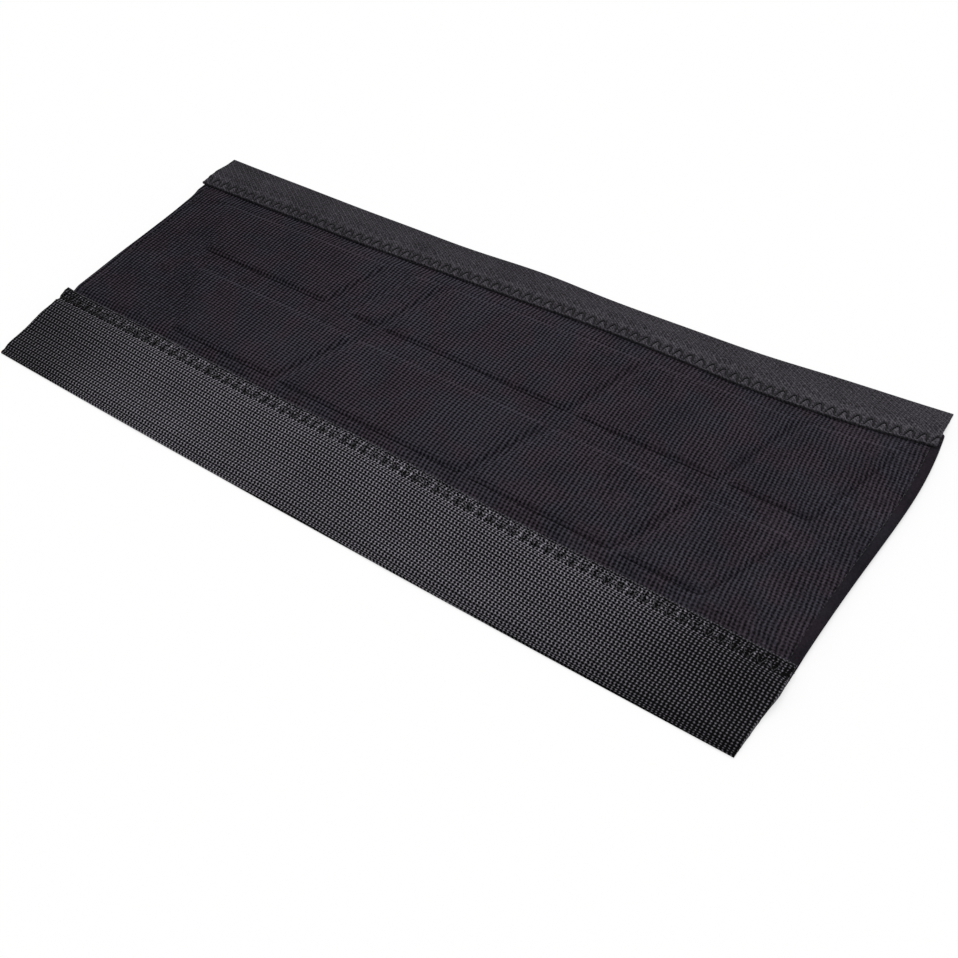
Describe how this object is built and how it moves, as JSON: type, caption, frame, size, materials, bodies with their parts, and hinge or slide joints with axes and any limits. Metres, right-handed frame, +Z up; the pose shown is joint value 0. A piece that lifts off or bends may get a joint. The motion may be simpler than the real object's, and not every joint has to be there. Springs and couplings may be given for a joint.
{
  "type": "chainstay protector",
  "caption": "Tapered, knit-faced foam wrap that lies flat, with raised padded panels, a wide hook tape along one long edge and a narrow loop tape along the other, both sewn on by zigzag seams.",
  "frame": {"origin": "under the middle of the whole outline, on the surface that the protector lies on", "axes": "+X along the length towards the wide end, +Y across it from the hook tape towards the loop tape, +Z up out of the outer face"},
  "size_m": [0.2536, 0.1289, 0.0034],
  "materials": {
    "neoprene_knit": "matt ribbed knit bonded to foam",
    "hook_pile": "glossy nylon hooks on a woven tape",
    "tape_weave": "matt twill weave",
    "sewing_thread": "twisted thread"
  },
  "bodies": {
    "root": {"body_panel": "neoprene_knit", "hook_tape": "hook_pile", "loop_tape": "tape_weave", "hook_tape_zigzag_thread": "sewing_thread", "loop_tape_zigzag_thread": "sewing_thread", "narrow_end_hem_thread": "sewing_thread", "wide_end_hem_thread": "sewing_thread"}
  },
  "joints": []
}
